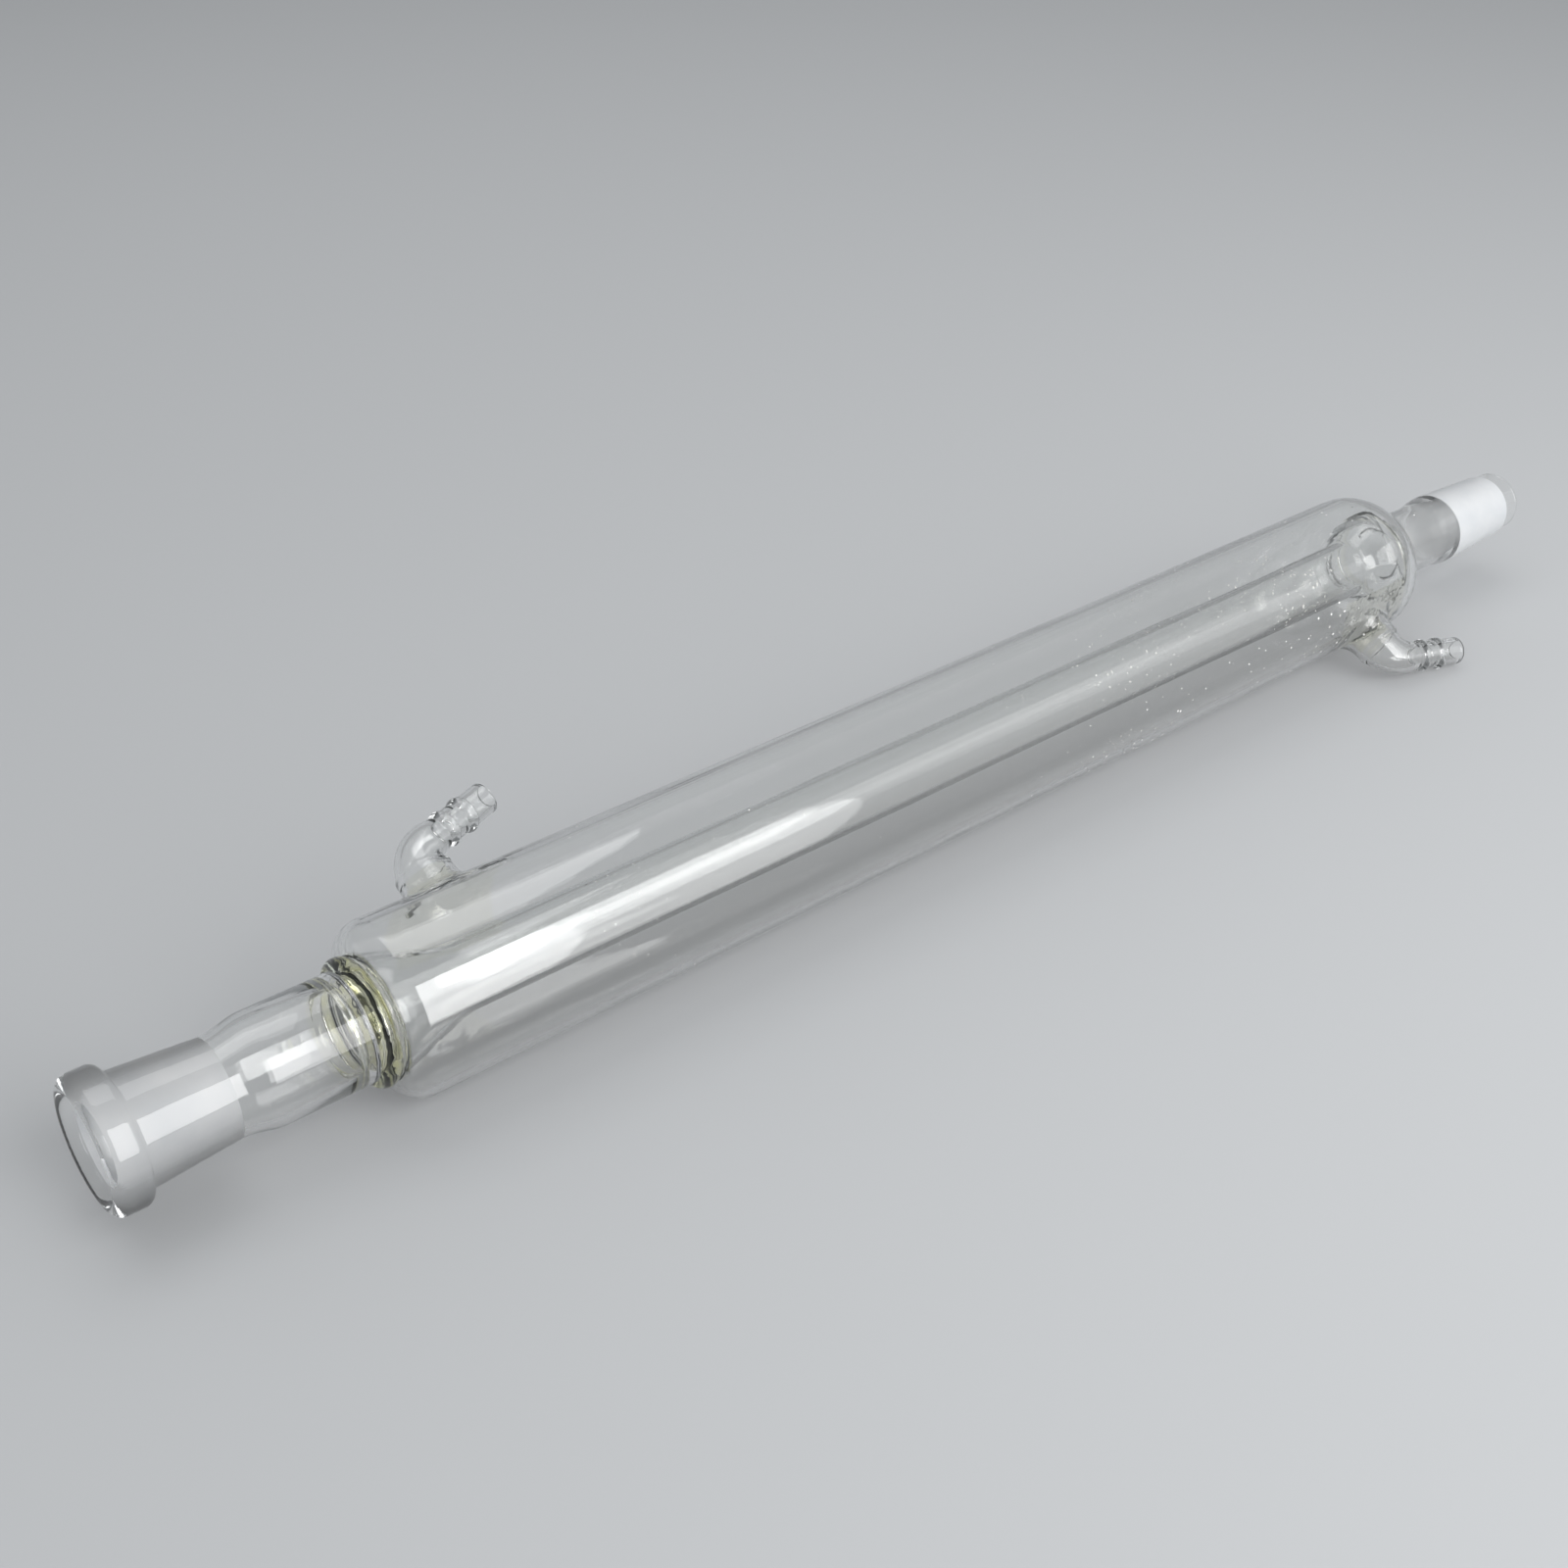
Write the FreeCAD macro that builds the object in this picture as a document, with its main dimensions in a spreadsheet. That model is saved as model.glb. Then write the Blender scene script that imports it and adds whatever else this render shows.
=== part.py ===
import FreeCAD, Part
import math
import os
import Sketcher

# Straight condenser, made of blown and drawn glass pieces sealed end to end.
# Millimetres. X runs along the bore from the socket's mouth to the cone's tip, Z is up, and
# the floor is Z = 0. It lies on its jacket and on the tip of the far hose connection.

document = FreeCAD.newDocument("straight_condenser")

# Driving dimensions
DIMENSIONS = {
    # Ground joints, standard taper 24/29
    "joint_bore": 24.0,
    "joint_length": 29.0,
    "joint_taper": 10.0,
    # Socket
    "lip_depth": 3.2,
    "lip_diameter": 28.2,
    "bead_diameter": 34.4,
    "bead_length": 9.4,
    "bead_back_radius": 2.4,
    "barrel_diameter": 28.6,
    "barrel_end_diameter": 25.2,
    "tail_diameter": 28.6,
    "tail_wall": 2.2,
    "tail_neck_length": 10.8,
    "tail_length": 22.6,
    # Near ring seal
    "ring_crown_run": 2.6,
    "ring_bead_length": 4.6,
    "ring_swell": 0.7,
    # Jacket
    "jacket_diameter": 46.2,
    "jacket_wall": 1.8,
    "jacket_straight": 361.7,
    "dome_radius": 15.0,
    "neck_radius": 3.5,
    "neck_diameter": 22.0,
    "neck_length": 4.74,
    # Condensing tube
    "tube_diameter": 18.0,
    "tube_wall": 1.5,
    "funnel_wall": 2.0,
    "near_funnel_length": 25.0,
    "far_funnel_diameter": 29.2,
    "far_funnel_length": 11.0,
    "far_rim_length": 2.6,
    "far_rim_reach": 9.7,
    # Far ring seal
    "far_ring_swell": 0.9,
    # Hose connections
    "near_arm_setback": 25.1,
    "far_arm_setback": 15.3,
    "boss_diameter": 15.0,
    "boss_foot_diameter": 24.0,
    "boss_height": 4.9,
    "boss_drop": 4.6,
    "boss_wall": 1.8,
    "boss_fillet": 2.0,
    "arm_stub": 0.6,
    "arm_bend_radius": 9.0,
    "arm_lean": 15.5,
    "arm_straight": 3.0,
    "arm_end_diameter": 9.0,
    "nipple_diameter": 8.8,
    "nipple_bore": 5.8,
    "nipple_rounding": 0.6,
    "barb_diameter": 10.2,
    "barb_width": 3.4,
    "barb_gap": 0.3,
    "barb_pitch": 6.6,
    "tip_run": 8.6,
    # Cone
    "cone_tail_length": 13.0,
    "cone_shoulder_length": 9.5,
    "cone_wall": 1.8,
    "cone_tip_length": 8.0,
    "cone_tip_diameter": 19.8,
    "cone_tip_step": 1.6,
    "cone_tip_bore": 16.4,
    "cone_tip_rounding": 1.2,
}

# Places and radii worked out from the driving dimensions
PLACES = {
    # Ground joints
    "big_end": "dims.joint_bore / 2",
    "small_end": "dims.joint_bore / 2 - dims.joint_length / dims.joint_taper / 2",
    # Socket
    "lip": "dims.lip_diameter / 2",
    "lip_curve": "dims.lip_depth",
    "bead": "dims.bead_diameter / 2",
    "bead_front": "dims.bead_diameter / 2 - dims.lip_diameter / 2",
    "bead_back": "dims.bead_length - dims.bead_back_radius",
    "bead_heel": "dims.bead_diameter / 2 - dims.bead_back_radius",
    "barrel": "dims.barrel_diameter / 2",
    "barrel_end": "dims.barrel_end_diameter / 2",
    "socket_end": "dims.lip_depth + dims.joint_length",
    "tail": "dims.tail_diameter / 2",
    "tail_bore": "dims.tail_diameter / 2 - dims.tail_wall",
    "tail_start": "socket_end + dims.tail_neck_length",
    "neck_middle": "socket_end + dims.tail_neck_length / 2",
    "neck_outer_middle": "(barrel_end + tail) / 2",
    "neck_outer_curve": "(dims.tail_neck_length ^ 2 + (tail - barrel_end) ^ 2) / (tail - barrel_end) / 4",
    "neck_inner_middle": "(small_end + tail_bore) / 2",
    "neck_inner_curve": "(dims.tail_neck_length ^ 2 + (tail_bore - small_end) ^ 2)"
                        " / (tail_bore - small_end) / 4",
    # Near ring seal
    "ring_place": "tail_start + dims.tail_length",
    "ring_seat": "tail + dims.jacket_wall",
    "ring": "ring_seat + dims.ring_swell",
    "ring_crown": "ring_place + dims.ring_crown_run",
    "ring_shoulder": "ring_place + dims.ring_bead_length",
    "ring_end": "ring_shoulder + dims.jacket_wall",
    "ring_rise": "(dims.ring_crown_run ^ 2 + (ring - tail) ^ 2) / (ring - tail) / 2",
    "ring_fall": "((dims.ring_bead_length - dims.ring_crown_run) ^ 2 + (ring - ring_seat) ^ 2)"
                 " / (ring - ring_seat) / 2",
    # Jacket
    "jacket": "dims.jacket_diameter / 2",
    "water_wall": "dims.jacket_diameter / 2 - dims.jacket_wall",
    "shoulder_curve": "jacket - ring_seat",
    "shoulder_inner_curve": "jacket - ring_seat - dims.jacket_wall",
    "shoulder_end": "ring_shoulder + shoulder_curve",
    "dome_place": "shoulder_end + dims.jacket_straight",
    "dome_inner_radius": "dims.dome_radius - dims.jacket_wall",
    "dome_middle": "jacket - dims.dome_radius",
    "neck": "dims.neck_diameter / 2",
    "neck_bore": "dims.neck_diameter / 2 - dims.jacket_wall",
    "neck_inner_radius": "dims.neck_radius + dims.jacket_wall",
    "neck_centre": "neck + dims.neck_radius",
    "dome_reach": "dims.dome_radius + dims.neck_radius",
    "neck_place": "dome_place + sqrt(dome_reach ^ 2 - (neck_centre - dome_middle) ^ 2)",
    "jacket_end": "neck_place + dims.neck_length",
    "dome_turn": "dome_place + (neck_place - dome_place) * dims.dome_radius / dome_reach",
    "dome_turn_radius": "dome_middle + (neck_centre - dome_middle) * dims.dome_radius / dome_reach",
    "cavity_turn": "dome_place + (neck_place - dome_place) * dome_inner_radius / dome_reach",
    "cavity_turn_radius": "dome_middle + (neck_centre - dome_middle) * dome_inner_radius / dome_reach",
    # Condensing tube
    "tube": "dims.tube_diameter / 2",
    "tube_bore": "dims.tube_diameter / 2 - dims.tube_wall",
    "near_funnel_end": "ring_end + dims.near_funnel_length",
    "near_funnel_middle": "ring_end + dims.near_funnel_length / 2",
    "near_funnel_mid_outer": "(tail + tube) / 2",
    "near_funnel_mid_bore": "(tail_bore + tube_bore) / 2",
    "near_funnel_curve": "(dims.near_funnel_length ^ 2 + (tail - tube) ^ 2) / (tail - tube) / 4",
    "near_bore_curve": "(dims.near_funnel_length ^ 2 + (tail_bore - tube_bore) ^ 2)"
                       " / (tail_bore - tube_bore) / 4",
    "far_rim": "dims.far_funnel_diameter / 2",
    "far_rim_bore": "dims.far_funnel_diameter / 2 - dims.funnel_wall",
    "far_funnel_end": "dome_place + dims.far_rim_reach",
    "far_funnel_place": "far_funnel_end - dims.far_rim_length",
    "far_funnel_start": "far_funnel_place - dims.far_funnel_length",
    "far_funnel_middle": "far_funnel_place - dims.far_funnel_length / 2",
    "far_funnel_mid_outer": "(far_rim + tube) / 2",
    "far_funnel_mid_bore": "(far_rim_bore + tube_bore) / 2",
    "far_funnel_curve": "(dims.far_funnel_length ^ 2 + (far_rim - tube) ^ 2) / (far_rim - tube) / 4",
    "far_bore_curve": "(dims.far_funnel_length ^ 2 + (far_rim_bore - tube_bore) ^ 2)"
                      " / (far_rim_bore - tube_bore) / 4",
    # Far ring seal
    "far_ring": "far_rim + dims.far_ring_swell",
    "far_ring_edge": "dome_place + sqrt(dome_inner_radius ^ 2 - (far_ring - dome_middle) ^ 2)",
    "far_ring_inner_edge": "dome_place"
                           " + sqrt(dome_inner_radius ^ 2 - (far_rim_bore - dome_middle) ^ 2)",
    # Hose connections
    "near_arm_place": "shoulder_end + dims.near_arm_setback",
    "far_arm_place": "dome_place - dims.far_arm_setback",
    "boss": "dims.boss_diameter / 2",
    "boss_foot": "dims.boss_foot_diameter / 2",
    "boss_top": "jacket + dims.boss_height",
    "boss_base": "jacket - dims.boss_drop",
    "boss_bore": "dims.boss_diameter / 2 - dims.boss_wall",
    "boss_bore_foot": "dims.boss_foot_diameter / 2 - 2 * dims.boss_wall",
    "boss_curve": "((boss_top - boss_base) ^ 2 + (boss_foot - boss) ^ 2) / (boss_foot - boss) / 2",
    "bend_start": "boss_top + dims.arm_stub",
    "bend_turn": "90 - dims.arm_lean",
    "bend_run": "dims.arm_bend_radius * tan(bend_turn / 2)",
    "corner": "bend_start + bend_run",
    "bend_end_along": "bend_run * cos(dims.arm_lean)",
    "bend_end_out": "corner + bend_run * sin(dims.arm_lean)",
    "nipple_start": "bend_run + dims.arm_straight",
    "nipple_start_along": "nipple_start * cos(dims.arm_lean)",
    "nipple_start_out": "corner + nipple_start * sin(dims.arm_lean)",
    "arm_end": "dims.arm_end_diameter / 2",
    "nipple": "dims.nipple_diameter / 2",
    "nipple_hole": "dims.nipple_bore / 2",
    "barb_swell": "dims.barb_diameter / 2 - nipple",
    "barb_curve": "(dims.barb_width ^ 2 / 4 + barb_swell ^ 2) / barb_swell / 2",
    "barb_one_start": "nipple_start + dims.barb_gap",
    "barb_one_end": "barb_one_start + dims.barb_width",
    "barb_two_start": "barb_one_start + dims.barb_pitch",
    "barb_two_end": "barb_two_start + dims.barb_width",
    "nipple_end": "barb_two_start + dims.barb_width / 2 + dims.tip_run",
    "tip_round_start": "nipple_end - dims.nipple_rounding",
    "tip_round_inner": "nipple - dims.nipple_rounding",
    # Resting angle, where the far connection's tip just touches the floor
    "tip_height": "corner + tip_round_start * sin(dims.arm_lean)",
    "tip_drop": "jacket - dims.nipple_rounding",
    "tip_square": "tip_height ^ 2 + (tip_round_inner * sin(dims.arm_lean)) ^ 2",
    "tip_sine": "(tip_drop * tip_height - sqrt((tip_drop * tip_height) ^ 2"
                " - tip_square * (tip_drop ^ 2 - tip_round_inner ^ 2))) / tip_square",
    "rest_angle": "asin(tip_sine) / 1 deg",
    "near_roll": "rest_angle - 90",
    "far_roll": "rest_angle + 90",
    # Cone
    "cone_tail_start": "jacket_end + dims.cone_tail_length",
    "cone_place": "cone_tail_start + dims.cone_shoulder_length",
    "cone_shoulder_middle": "cone_place - dims.cone_shoulder_length / 2",
    "cone_shoulder_radius": "(neck + big_end) / 2",
    "cone_shoulder_curve": "(dims.cone_shoulder_length ^ 2 + (big_end - neck) ^ 2)"
                           " / abs(big_end - neck) / 4",
    "cone_end": "cone_place + dims.joint_length",
    "cone_bore": "big_end - dims.cone_wall",
    "cone_tip": "dims.cone_tip_diameter / 2",
    "cone_tip_hole": "dims.cone_tip_bore / 2",
    "cone_tip_start": "cone_end + dims.cone_tip_step",
    "length": "cone_end + dims.cone_tip_length",
    "cone_round_start": "length - dims.cone_tip_rounding",
    "cone_round_inner": "cone_tip - dims.cone_tip_rounding",
    # Frame
    "middle": "-length / 2",
    "near_arm_frame": "near_arm_place - length / 2",
    "far_arm_frame": "far_arm_place - length / 2",
}


# Spreadsheets
def make_sheet(name, cells, mark):
    """Writes one named cell a row; mark is '' for plain numbers and '=' for formulas."""
    sheet = document.addObject("Spreadsheet::Sheet", name)
    for row, (alias, content) in enumerate(cells.items(), start=1):
        sheet.set(f"A{row}", alias)
        sheet.set(f"B{row}", f"{mark}{content}")
        sheet.setAlias(f"B{row}", alias)
    document.recompute()
    return sheet


dims = make_sheet("dims", DIMENSIONS, "")
places = make_sheet("places", PLACES, "=")


def cell_of(name):
    """The sheet that holds a named size, as the expressions write it."""
    return f"dims.{name}" if name in DIMENSIONS else f"places.{name}"


def size_of(name):
    """The present value of a named size."""
    sheet = dims if name in DIMENSIONS else places
    return float(sheet.get(name))


# Sketches
AXIS_X, AXIS_Y = -1, -2
START, END, CENTRE = range(1, 4)
LEFT, RIGHT = 1, -1


def origin_plane(body, role):
    """One of the body's own origin planes."""
    for feature in body.Origin.OriginFeatures:
        if feature.Role == role:
            return feature
    raise ValueError(f"{body.Name} has no {role}")


def new_sketch(body, name, role):
    """An empty sketch on one of the body's origin planes."""
    sketch = body.newObject("Sketcher::SketchObject", name)
    sketch.AttachmentSupport = [(origin_plane(body, role), "")]
    sketch.MapMode = "FlatFace"
    return sketch


def arc_between(start, finish, radius, side):
    """The short arc of that radius from start to finish, its centre to the left or right."""
    chord = finish.sub(start)
    half = chord.Length / 2
    across = FreeCAD.Vector(-chord.y, chord.x, 0).normalize()
    reach = max(radius ** 2 - half ** 2, 0.0) ** 0.5
    centre = start.add(chord * 0.5).add(across * (side * reach))
    first, last = (start, finish) if side == LEFT else (finish, start)
    first_angle = math.atan2(first.y - centre.y, first.x - centre.x)
    last_angle = math.atan2(last.y - centre.y, last.x - centre.x)
    if last_angle < first_angle:
        last_angle += 2 * math.pi
    circle = Part.Circle(centre, FreeCAD.Vector(0, 0, 1), radius)
    return Part.ArcOfCircle(circle, first_angle, last_angle)


def bind_point(sketch, shape, end, along, out):
    """Ties one end of a side to its named distances from the sketch's origin."""
    for name, kind, axis in ((along, "DistanceX", AXIS_Y), (out, "DistanceY", AXIS_X)):
        if name is None:
            sketch.addConstraint(Sketcher.Constraint("PointOnObject", shape, end, axis))
            continue
        number = sketch.addConstraint(
            Sketcher.Constraint(kind, AXIS_X, START, shape, end, size_of(name)))
        sketch.setExpression(f"Constraints[{number}]", cell_of(name))


def place_of(along, out):
    """The point at two named distances, where None is the origin line."""
    return FreeCAD.Vector(size_of(along) if along else 0, size_of(out) if out else 0, 0)


def draw_outline(sketch, corners, closed=True):
    """Draws sides through corners (along, out) or (along, out, radius, side) for a curved side."""
    count = len(corners) if closed else len(corners) - 1
    starts = []
    for number in range(count):
        here = corners[number]
        there = corners[(number + 1) % len(corners)]
        start = place_of(here[0], here[1])
        finish = place_of(there[0], there[1])
        if len(here) == 2:
            shape = sketch.addGeometry(Part.LineSegment(start, finish))
            starts.append((shape, START, END))
            continue
        radius_name, side = here[2], here[3]
        shape = sketch.addGeometry(arc_between(start, finish, size_of(radius_name), side))
        starts.append((shape, START, END) if side == LEFT else (shape, END, START))
        radius = sketch.addConstraint(Sketcher.Constraint("Radius", shape, size_of(radius_name)))
        sketch.setExpression(f"Constraints[{radius}]", cell_of(radius_name))
    for number, (shape, first, last) in enumerate(starts):
        if closed or number + 1 < len(starts):
            following, opening, _ = starts[(number + 1) % len(starts)]
            sketch.addConstraint(Sketcher.Constraint("Coincident", shape, last, following, opening))
        bind_point(sketch, shape, first, corners[number][0], corners[number][1])
    if not closed:
        shape, _, last = starts[-1]
        bind_point(sketch, shape, last, corners[-1][0], corners[-1][1])
    return sketch


def draw_circle(sketch, radius_name):
    """A circle of a named radius about the sketch's origin."""
    circle = Part.Circle(FreeCAD.Vector(), FreeCAD.Vector(0, 0, 1), size_of(radius_name))
    shape = sketch.addGeometry(circle)
    sketch.addConstraint(Sketcher.Constraint("Coincident", shape, CENTRE, AXIS_X, START))
    radius = sketch.addConstraint(Sketcher.Constraint("Radius", shape, size_of(radius_name)))
    sketch.setExpression(f"Constraints[{radius}]", cell_of(radius_name))
    return sketch


def shift_sketch(sketch, right=None, up=None, forward=None):
    """Moves a sketch in its own plane and off it by named distances."""
    for axis, name in (("x", right), ("y", up), ("z", forward)):
        if name is not None:
            sketch.setExpression(f"AttachmentOffset.Base.{axis}", cell_of(name))


# Bodies
def new_body(label, along, roll):
    """A body whose own X axis is the condenser's axis, laid down at its resting angle."""
    body = document.addObject("PartDesign::Body", label)
    body.Label = label
    body.Placement = FreeCAD.Placement(
        FreeCAD.Vector(size_of(along), 0, size_of("jacket")),
        FreeCAD.Rotation(FreeCAD.Vector(1, 0, 0), size_of(roll)))
    body.setExpression("Placement.Base.x", cell_of(along))
    body.setExpression("Placement.Base.z", cell_of("jacket"))
    body.setExpression("Placement.Rotation.Angle", f"{cell_of(roll)} * 1 deg")
    return body


def turn(body, kind, sketch, axis, name):
    """A full turn of a sketch about its own horizontal or vertical axis, added or cut."""
    document.recompute()
    feature = body.newObject(f"PartDesign::{kind}", name)
    feature.Profile = sketch
    feature.ReferenceAxis = (sketch, [axis])
    feature.Angle = 360
    document.recompute()
    return feature


def turned_piece(label, corners):
    """A piece drawn and blown round on the lathe: one outline turned about the bore."""
    body = new_body(label, "middle", "near_roll")
    sketch = draw_outline(new_sketch(body, f"{label}_outline", "XZ_Plane"), corners)
    turn(body, "Revolution", sketch, "H_Axis", f"{label}_turned")
    return body


# Ground socket with its rounded bead rim and the clear tail behind it
def make_ground_socket():
    return turned_piece("ground_socket", [
        (None, "lip", "bead_front", RIGHT),
        ("bead_front", "bead"),
        ("bead_back", "bead", "bead_back_radius", RIGHT),
        ("bead_length", "bead_heel"),
        ("bead_length", "barrel"),
        ("socket_end", "barrel_end", "neck_outer_curve", LEFT),
        ("neck_middle", "neck_outer_middle", "neck_outer_curve", RIGHT),
        ("tail_start", "tail"),
        ("ring_place", "tail"),
        ("ring_place", "tail_bore"),
        ("tail_start", "tail_bore", "neck_inner_curve", LEFT),
        ("neck_middle", "neck_inner_middle", "neck_inner_curve", RIGHT),
        ("socket_end", "small_end"),
        ("lip_depth", "big_end", "lip_curve", RIGHT),
    ])


# Near ring seal, the thick fused ring where tail, jacket and condensing tube meet
def make_near_ring_seal():
    return turned_piece("near_ring_seal", [
        ("ring_place", "tail_bore"),
        ("ring_place", "tail", "ring_rise", RIGHT),
        ("ring_crown", "ring", "ring_fall", RIGHT),
        ("ring_shoulder", "ring_seat"),
        ("ring_end", "ring_seat"),
        ("ring_end", "tail_bore"),
    ])


# Condensing tube, opened out like a funnel at both ends
def make_condensing_tube():
    return turned_piece("condensing_tube", [
        ("ring_end", "tail", "near_funnel_curve", RIGHT),
        ("near_funnel_middle", "near_funnel_mid_outer", "near_funnel_curve", LEFT),
        ("near_funnel_end", "tube"),
        ("far_funnel_start", "tube", "far_funnel_curve", LEFT),
        ("far_funnel_middle", "far_funnel_mid_outer", "far_funnel_curve", RIGHT),
        ("far_funnel_place", "far_rim"),
        ("far_funnel_end", "far_rim"),
        ("far_funnel_end", "far_rim_bore"),
        ("far_funnel_place", "far_rim_bore", "far_bore_curve", LEFT),
        ("far_funnel_middle", "far_funnel_mid_bore", "far_bore_curve", RIGHT),
        ("far_funnel_start", "tube_bore"),
        ("near_funnel_end", "tube_bore", "near_bore_curve", RIGHT),
        ("near_funnel_middle", "near_funnel_mid_bore", "near_bore_curve", LEFT),
        ("ring_end", "tail_bore"),
    ])


# Far ring seal, the fused bead between the funnel's rim and the inside of the dome
def make_far_ring_seal():
    return turned_piece("far_ring_seal", [
        ("far_funnel_end", "far_rim_bore"),
        ("far_funnel_end", "far_ring"),
        ("far_ring_edge", "far_ring", "dome_inner_radius", RIGHT),
        ("far_ring_inner_edge", "far_rim_bore"),
    ])


# Ground cone with its clear tail and fire-polished tip
def make_ground_cone():
    swells = size_of("neck") < size_of("big_end")
    first_side, second_side = (LEFT, RIGHT) if swells else (RIGHT, LEFT)
    return turned_piece("ground_cone", [
        ("jacket_end", "neck"),
        ("cone_tail_start", "neck", "cone_shoulder_curve", first_side),
        ("cone_shoulder_middle", "cone_shoulder_radius", "cone_shoulder_curve", second_side),
        ("cone_place", "big_end"),
        ("cone_end", "small_end"),
        ("cone_tip_start", "cone_tip"),
        ("cone_round_start", "cone_tip", "cone_tip_rounding", RIGHT),
        ("length", "cone_round_inner"),
        ("length", "cone_tip_hole"),
        ("cone_end", "cone_tip_hole"),
        ("cone_place", "cone_bore"),
        ("jacket_end", "neck_bore"),
    ])


# Water jacket with two bosses drawn out of its wall, on opposite sides
BOSSES = (("near", "near_arm_place", 0), ("far", "far_arm_place", 180))
ALIGNED = 1e-6


def boss_sketch(body, name, place, flip):
    """A sketch on a boss's own axis, up from the condenser's axis or down from it."""
    sketch = new_sketch(body, name, "XZ_Plane")
    sketch.AttachmentOffset = FreeCAD.Placement(
        FreeCAD.Vector(size_of(place), 0, 0),
        FreeCAD.Rotation(FreeCAD.Vector(1, 0, 0), flip))
    shift_sketch(sketch, right=place)
    return sketch


def faces_about(shape, axis, kind):
    """The round faces of one kind whose own axis runs along the given one."""
    return [face for face in shape.Faces
            if isinstance(face.Surface, kind) and face.Surface.Axis.cross(axis).Length < ALIGNED]


def boss_edges(shape):
    """The edges where the flared bosses rise out of the round of the jacket."""
    jacket_faces = faces_about(shape, FreeCAD.Vector(1, 0, 0), Part.Cylinder)
    boss_faces = faces_about(shape, FreeCAD.Vector(0, 0, 1), Part.Toroid)
    jacket_sides = [edge for face in jacket_faces for edge in face.Edges]
    boss_sides = [edge for face in boss_faces for edge in face.Edges]
    return [f"Edge{number}" for number, edge in enumerate(shape.Edges, start=1)
            if any(edge.isSame(side) for side in jacket_sides)
            and any(edge.isSame(side) for side in boss_sides)]


def make_water_jacket():
    body = new_body("water_jacket", "middle", "near_roll")
    outside = draw_outline(new_sketch(body, "jacket_outside", "XZ_Plane"), [
        ("ring_shoulder", None),
        ("ring_shoulder", "ring_seat", "shoulder_curve", RIGHT),
        ("shoulder_end", "jacket"),
        ("dome_place", "jacket", "dome_radius", RIGHT),
        ("dome_turn", "dome_turn_radius", "neck_radius", LEFT),
        ("neck_place", "neck"),
        ("jacket_end", "neck"),
        ("jacket_end", None),
    ])
    turn(body, "Revolution", outside, "H_Axis", "jacket_body")
    for side, place, flip in BOSSES:
        boss = draw_outline(boss_sketch(body, f"{side}_boss_outline", place, flip), [
            (None, "boss_base"),
            ("boss_foot", "boss_base", "boss_curve", RIGHT),
            ("boss", "boss_top"),
            (None, "boss_top"),
        ])
        turn(body, "Revolution", boss, "V_Axis", f"{side}_boss")
    bossed = body.Tip
    fillet = body.newObject("PartDesign::Fillet", "boss_fillets")
    fillet.Base = (bossed, boss_edges(bossed.Shape))
    fillet.setExpression("Radius", "dims.boss_fillet")
    document.recompute()
    cavity = draw_outline(new_sketch(body, "jacket_cavity", "XZ_Plane"), [
        ("ring_shoulder", None),
        ("ring_shoulder", "ring_seat"),
        ("ring_end", "ring_seat", "shoulder_inner_curve", RIGHT),
        ("shoulder_end", "water_wall"),
        ("dome_place", "water_wall", "dome_inner_radius", RIGHT),
        ("cavity_turn", "cavity_turn_radius", "neck_inner_radius", LEFT),
        ("neck_place", "neck_bore"),
        ("jacket_end", "neck_bore"),
        ("jacket_end", None),
    ])
    turn(body, "Groove", cavity, "H_Axis", "jacket_hollow")
    for side, place, flip in BOSSES:
        bore = draw_outline(boss_sketch(body, f"{side}_boss_bore", place, flip), [
            (None, "tube"),
            ("boss_bore_foot", "tube"),
            ("boss_bore", "boss_top"),
            (None, "boss_top"),
        ])
        turn(body, "Groove", bore, "V_Axis", f"{side}_boss_hole")
    return body


# Hose connections, each a bent horn of tube that ends in a nipple with two rounded barbs
def horn_section(body, name, radius, at_end):
    """A circle across the horn, where it leaves its boss or where the nipple starts."""
    if not at_end:
        sketch = new_sketch(body, name, "XY_Plane")
        shift_sketch(sketch, forward="boss_top")
        return draw_circle(sketch, radius)
    sketch = new_sketch(body, name, "YZ_Plane")
    sketch.AttachmentOffset = FreeCAD.Placement(
        FreeCAD.Vector(), FreeCAD.Rotation(FreeCAD.Vector(1, 0, 0), -size_of("arm_lean")))
    sketch.setExpression("AttachmentOffset.Rotation.Angle", "dims.arm_lean * 1 deg")
    shift_sketch(sketch, up="nipple_start_out", forward="nipple_start_along")
    return draw_circle(sketch, radius)


def horn(body, kind, name, spine, base_radius, end_radius):
    """A pipe along the bend that narrows from the base radius to the end radius."""
    base = horn_section(body, f"{name}_base", base_radius, False)
    end = horn_section(body, f"{name}_end", end_radius, True)
    document.recompute()
    pipe = body.newObject(f"PartDesign::{kind}", name)
    pipe.Profile = base
    pipe.Spine = (spine, [])
    pipe.Transformation = "Multisection"
    pipe.Sections = [end]
    document.recompute()
    return pipe


def nipple_sketch(body, name):
    """A sketch whose horizontal axis is the nipple's own axis."""
    sketch = new_sketch(body, name, "XZ_Plane")
    sketch.AttachmentOffset = FreeCAD.Placement(
        FreeCAD.Vector(), FreeCAD.Rotation(FreeCAD.Vector(0, 0, 1), size_of("arm_lean")))
    sketch.setExpression("AttachmentOffset.Rotation.Angle", "dims.arm_lean * 1 deg")
    shift_sketch(sketch, up="corner")
    return sketch


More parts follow.
